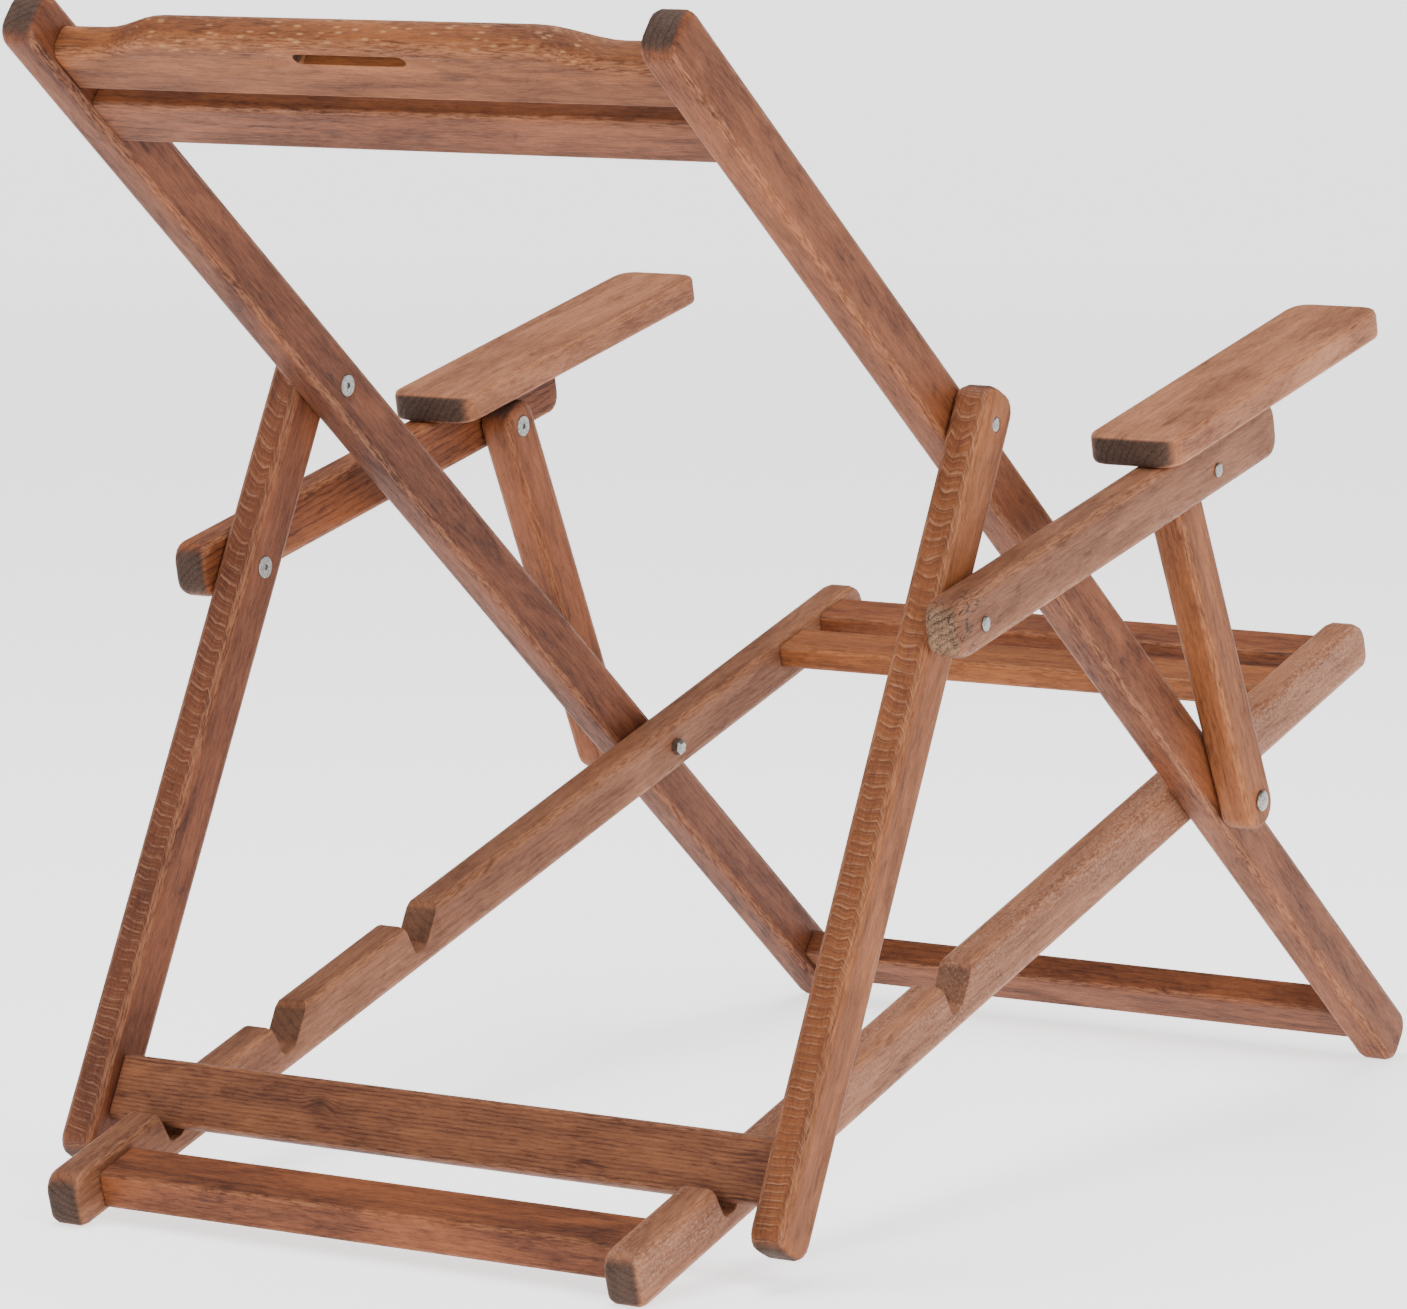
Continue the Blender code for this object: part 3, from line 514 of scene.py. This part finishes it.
def bare_wood_material():
    """Pale turned dowel, fine straight grain."""
    s = Shader("bare_dowel_wood")
    fibre = s.noise(s.own("Object"), DOWEL_WAVES, detail=3)
    s.give("Base Color", s.mix(fibre, DOWEL_LIGHT, DOWEL_DARK))
    s.give("Roughness", s.plus(DOWEL_ROUGHNESS, fibre, DOWEL_FIBRE_ROUGHNESS))
    return s.material


# ---- fine pieces over the CAD laths ----------------------------------------------------------------
ROUNDING = 0.0009
SLICE = 0.06
SHORTEST_RIM = 0.0035
SHARP_RIM = math.radians(52)
FLAT_WITHIN = math.radians(0.6)
LATH_SMOOTH_UNDER = math.radians(55)
SAME_POINT = 1e-6
SAME_PLANE = 1e-4
SAME_FACING = 0.02
FACING_DECIMALS = 2


def body_of(node):
    """The name of the body that a CAD node belongs to."""
    for body, members in RECORD["behaviour"]["bodies"].items():
        if node in members:
            return body
    raise ValueError(node)


def side_normal(mesh):
    """Direction, square to X, of the piece's largest flat face: its width's direction."""
    sides = [face for face in mesh.polygons if abs(face.normal.x) < SAME_FACING]
    areas = {}
    for face in sides:
        key = (round(face.normal.y, FACING_DECIMALS), round(face.normal.z, FACING_DECIMALS))
        areas[key] = areas.get(key, 0) + face.area
    y, z = max(areas, key=areas.get)
    best = Vector((0, 0, 0))
    for face in sides:
        if abs(face.normal.y - y) < SAME_FACING and abs(face.normal.z - z) < SAME_FACING:
            best += face.normal * face.area
    return best.normalized()


def piece_axes(name, mesh):
    """(along the grain, across it, across it) for a piece: laths run square to X, rails along it."""
    normal = side_normal(mesh)
    lie = ACROSS.cross(normal).normalized()
    if lie.z > 0 or (abs(lie.z) < SAME_POINT and lie.y > 0):
        lie = -lie
    if name in CROSS_PIECES:
        return ACROSS, lie, normal
    return lie, normal, ACROSS


def rounded(mesh_data):
    """A copy of the CAD mesh with its facets merged and its sharp rims rounded."""
    mesh = bmesh.new()
    mesh.from_mesh(mesh_data)
    bmesh.ops.remove_doubles(mesh, verts=mesh.verts, dist=SAME_POINT)
    bmesh.ops.dissolve_limit(mesh, angle_limit=FLAT_WITHIN, verts=mesh.verts, edges=mesh.edges)
    rims = [edge for edge in mesh.edges if len(edge.link_faces) == 2
            and edge.calc_face_angle(0) > SHARP_RIM and edge.calc_length() > SHORTEST_RIM]
    bmesh.ops.bevel(mesh, geom=rims, offset=ROUNDING, segments=2, profile=0.5, affect="EDGES",
                    clamp_overlap=True)
    bmesh.ops.triangulate(mesh, faces=[face for face in mesh.faces if len(face.verts) > 4])
    result = bpy.data.meshes.new(mesh_data.name + "_fine")
    mesh.to_mesh(result)
    mesh.free()
    return result


def spans(points, axes):
    """The lowest and highest place of the points along each axis."""
    return [(min(p.dot(a) for p in points), max(p.dot(a) for p in points)) for a in axes]


def slice_across(mesh_data, along):
    """Cuts a piece across its grain at even steps, so its long faces carry point attributes well."""
    mesh = bmesh.new()
    mesh.from_mesh(mesh_data)
    low, high = spans([v.co for v in mesh.verts], [along])[0]
    count = int((high - low) / SLICE)
    for k in range(1, count):
        place = along * (low + (high - low) * k / count)
        bmesh.ops.bisect_plane(mesh, geom=mesh.verts[:] + mesh.edges[:] + mesh.faces[:],
                               dist=SAME_POINT, plane_co=place, plane_no=along)
    mesh.to_mesh(mesh_data)
    mesh.free()


def add_grain(mesh, axes):
    """Every vertex's place in the piece: along the grain, then across it twice, from its middle."""
    points = [v.co.copy() for v in mesh.vertices]
    middles = [(low + high) / 2 for low, high in spans(points, axes)]
    grain = mesh.attributes.new("grain", "FLOAT_VECTOR", "POINT")
    grain.data.foreach_set("vector", [p.dot(a) - m for p in points for a, m in zip(axes, middles)])


def add_painted_joint_shade(mesh, name):
    """Where painted shade goes: 1 on the end faces of a rail that butts between two laths, and 0
    everywhere else.
    """
    butts = name in CROSS_PIECES
    reach = max(v.co.x for v in mesh.vertices)
    marks = [1.0 if butts and reach - abs(v.co.x) < SAME_PLANE else 0.0 for v in mesh.vertices]
    mesh.attributes.new("joint", "FLOAT", "POINT").data.foreach_set("value", marks)


def fine_wood(name):
    """A lath or rail with rounded rims and its own wood, in place of its CAD node."""
    axes = piece_axes(name, NODES[name].data)
    mesh = rounded(NODES[name].data)
    slice_across(mesh, axes[0])
    add_grain(mesh, axes)
    add_painted_joint_shade(mesh, name)
    mesh.materials.clear()
    mesh.materials.append(wood_material(name, LOOKS[name], axes))
    mesh.shade_smooth()
    mesh.set_sharp_from_angle(angle=LATH_SMOOTH_UNDER)
    piece = bpy.data.objects.new("fine_" + name, mesh)
    bpy.context.collection.objects.link(piece)
    weighted = piece.modifiers.new("flat faces stay flat", "WEIGHTED_NORMAL")
    weighted.keep_sharp = True
    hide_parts(name)
    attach(piece, body_of(name))


# ---- turned fasteners ------------------------------------------------------------------------------
TURNED_SIDES = 48
HEXAGON_TURN = math.pi / 3
FASTENER_SMOOTH_UNDER = math.radians(40)
# a dome stops just short of the point at its middle
DOME_TURN = math.pi / 2 * 0.97
DOME_STEPS = 10
EASE_STEPS = 4
# how far in a nut's eased rim runs, over how thick it is
EASE_REACH = 2.2
SOCKET_R = 0.0023
SOCKET_DEPTH = 0.0012
SOCKET_RIM = 0.0001
# the socket's width at the nut's face and at the socket's floor, over SOCKET_R
SOCKET_MOUTH = 1.25
SOCKET_FLOOR = 0.96
# decimals, in metres, that bring the points of one CAD ring together
PLACE_DECIMALS = 5
RADIUS_DECIMALS = 4
SAME_PLACE = 1e-5


def turned_profile(mesh):
    """(centre, [(x, radius), ...]) of a round CAD solid on an axis along X, from its rings of vertices."""
    points = [v.co for v in mesh.vertices]
    middle = [(min(p[i] for p in points) + max(p[i] for p in points)) / 2 for i in (1, 2)]
    rings = {(round(p.x, PLACE_DECIMALS),
              round(math.hypot(p.y - middle[0], p.z - middle[1]), RADIUS_DECIMALS)) for p in points}
    return middle, sorted(rings)


def ring_of(x, radius, centre, shape="round"):
    """A loop of points round the axis; a hexagon's loop has as many points as a circle's."""
    points = []
    for k in range(TURNED_SIDES):
        turn = 2 * math.pi * k / TURNED_SIDES
        reach = radius
        if shape == "hexagon":
            reach *= math.cos(HEXAGON_TURN / 2) / math.cos(turn % HEXAGON_TURN - HEXAGON_TURN / 2)
        points.append((x, centre[0] + reach * math.cos(turn), centre[1] + reach * math.sin(turn)))
    return points


def fine_fastener(name, loops, material):
    """A closed skin over loops of points, in place of its CAD node."""
    mesh = bmesh.new()
    rings = [[mesh.verts.new(point) for point in loop] for loop in loops]
    for near, far in zip(rings, rings[1:]):
        for k in range(TURNED_SIDES):
            mesh.faces.new((near[k - 1], near[k], far[k], far[k - 1]))
    mesh.faces.new(rings[0])
    mesh.faces.new(rings[-1][::-1])
    bmesh.ops.recalc_face_normals(mesh, faces=mesh.faces)
    data = bpy.data.meshes.new("fine_" + name)
    mesh.to_mesh(data)
    mesh.free()
    data.materials.append(material)
    data.shade_smooth()
    data.set_sharp_from_angle(angle=FASTENER_SMOOTH_UNDER)
    piece = bpy.data.objects.new("fine_" + name, data)
    bpy.context.collection.objects.link(piece)
    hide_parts(name)
    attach(piece, body_of(name))


def fine_bolt(name, material):
    """A domed head with an eased rim on its shank."""
    centre, rings = turned_profile(NODES[name].data)
    side = 1 if rings[0][0] > 0 else -1
    rings.sort(key=lambda ring: (side * ring[0], ring[1]))
    tip, shank = rings[0]
    radius = max(r for _, r in rings)
    head = sorted({side * x for x, r in rings if r == radius})
    under, rim = head[0], head[-1]
    top = side * rings[-1][0]
    loops = [ring_of(tip, shank, centre), ring_of(side * under, shank, centre),
             ring_of(side * under, radius, centre)]
    for k in range(DOME_STEPS + 1):
        turn = DOME_TURN * k / DOME_STEPS
        loops.append(ring_of(side * (rim + (top - rim) * math.sin(turn)), radius * math.cos(turn), centre))
    fine_fastener(name, loops, material)


def fine_nut(name, material):
    """A flanged sleeve nut with an eased rim and a hexagon socket."""
    centre, rings = turned_profile(NODES[name].data)
    side = 1 if rings[0][0] > 0 else -1
    rings.sort(key=lambda ring: side * ring[0])
    flange = max(r for _, r in rings)
    outer = side * rings[0][0]
    thick = sorted({side * x for x, r in rings if r == flange})
    far = side * rings[-1][0]
    sleeve = max(r for x, r in rings if abs(side * x - far) < SAME_PLACE)
    easy = thick[0] - outer
    loops = [ring_of(side * far, sleeve, centre), ring_of(side * thick[-1], sleeve, centre),
             ring_of(side * thick[-1], flange, centre)]
    for k in range(EASE_STEPS + 1):
        turn = math.pi / 2 * k / EASE_STEPS
        loops.append(ring_of(side * (thick[0] - easy * math.sin(turn)),
                             flange - (1 - math.cos(turn)) * easy * EASE_REACH, centre))
    loops += [ring_of(side * outer, SOCKET_R * SOCKET_MOUTH, centre),
              ring_of(side * (outer + SOCKET_RIM), SOCKET_R, centre, "hexagon"),
              ring_of(side * (outer + SOCKET_DEPTH), SOCKET_R * SOCKET_FLOOR, centre, "hexagon")]
    fine_fastener(name, loops, material)


# ---- floor, light and camera -----------------------------------------------------------------------
FLOOR_RINGS = (0.5, 3.0, 9.0)
SWEEP_RADIUS = 3.0
SWEEP_STEPS = 12
FLOOR_SIDES = 96
FLOOR_LOOK = {"Base Color": (0.92, 0.92, 0.92, 1), "Roughness": 0.9, "Specular IOR Level": 0.1,
              "Emission Color": (1, 1, 1, 1), "Emission Strength": 1.5}
SKY = {"Color": (1, 1, 1, 1), "Strength": 0.50}
LAMPS_AIM_AT = Vector((0, 0.05, 0.35))
CAMERA_PLACE = Vector((-2.2862, 3.723, 0.8867))
CAMERA_TURN = (math.radians(83.860), math.radians(-0.286), math.radians(-148.245))
CAMERA_LENS = 167.1
CAMERA_SHIFT = (-0.0232, -0.0930)
CAMERA_SENSOR = 36
CAMERA_REACH = 100


def floor_profile():
    """(radius, height) along the flat floor and up the sweep at its edge."""
    flat = FLOOR_RINGS[-1]
    turns = [math.pi / 2 * k / SWEEP_STEPS for k in range(1, SWEEP_STEPS + 1)]
    return [(radius, 0) for radius in FLOOR_RINGS] + [
        (flat + SWEEP_RADIUS * math.sin(turn), SWEEP_RADIUS * (1 - math.cos(turn))) for turn in turns]


def studio_floor():
    """A round pale floor that sweeps up into a wall, far enough away to be behind every view."""
    mesh = bmesh.new()
    turns = [2 * math.pi * k / FLOOR_SIDES for k in range(FLOOR_SIDES)]
    rings = [[mesh.verts.new((radius * math.cos(turn), radius * math.sin(turn), height))
              for turn in turns] for radius, height in floor_profile()]
    mesh.faces.new(rings[0])
    for inner, outer in zip(rings, rings[1:]):
        for k in range(FLOOR_SIDES):
            mesh.faces.new((inner[k - 1], outer[k - 1], outer[k], inner[k]))
    data = bpy.data.meshes.new("floor")
    mesh.to_mesh(data)
    mesh.free()
    data.shade_smooth()
    s = Shader("pale_floor")
    for name, value in FLOOR_LOOK.items():
        s.give(name, value)
    data.materials.append(s.material)
    floor = bpy.data.objects.new("floor", data)
    bpy.context.collection.objects.link(floor)


def soft_lamp(name, place, size, power):
    """A round lamp aimed at the middle of the chair."""
    data = bpy.data.lights.new(name, "AREA")
    data.shape = "DISK"
    data.size = size
    data.energy = power
    lamp = bpy.data.objects.new(name, data)
    bpy.context.collection.objects.link(lamp)
    lamp.location = place
    lamp.rotation_euler = (LAMPS_AIM_AT - Vector(place)).to_track_quat("-Z", "Y").to_euler()


def studio_light():
    """A bright even sky, a broad key lamp above and behind the chair, and a soft top lamp."""
    world = bpy.data.worlds.new("studio")
    world.use_nodes = True
    for name, value in SKY.items():
        world.node_tree.nodes["Background"].inputs[name].default_value = value
    bpy.context.scene.world = world
    soft_lamp("key", (-3.0, 1.6, 2.4), size=1.6, power=62)
    soft_lamp("top", (0.3, 0.4, 3.4), size=2.0, power=115)


def camera():
    """A long lens behind the chair's right side, a little above the crest rail."""
    data = bpy.data.cameras.new("camera")
    data.sensor_fit = "HORIZONTAL"
    data.sensor_width = CAMERA_SENSOR
    data.lens = CAMERA_LENS
    data.shift_x, data.shift_y = CAMERA_SHIFT
    data.clip_end = CAMERA_REACH
    result = bpy.data.objects.new("camera", data)
    bpy.context.collection.objects.link(result)
    result.matrix_world = Matrix.Translation(CAMERA_PLACE) @ Euler(CAMERA_TURN).to_matrix().to_4x4()
    bpy.context.scene.camera = result


# ---- the whole ---------------------------------------------------------------------------------------
for lath in LOOKS:
    fine_wood(lath)

ZINC = zinc_material()
DOWEL = bare_wood_material()
for node_name, node_object in NODES.items():
    if node_name.startswith(("bolt", "stud")):
        fine_bolt(node_name, ZINC)
    elif node_name.startswith("nut") and "hub" not in node_name:
        fine_nut(node_name, ZINC)
    elif node_name not in LOOKS:
        node_object.data.materials.clear()
        node_object.data.materials.append(DOWEL if node_name.startswith("dowel") else ZINC)

studio_floor()
studio_light()
camera()
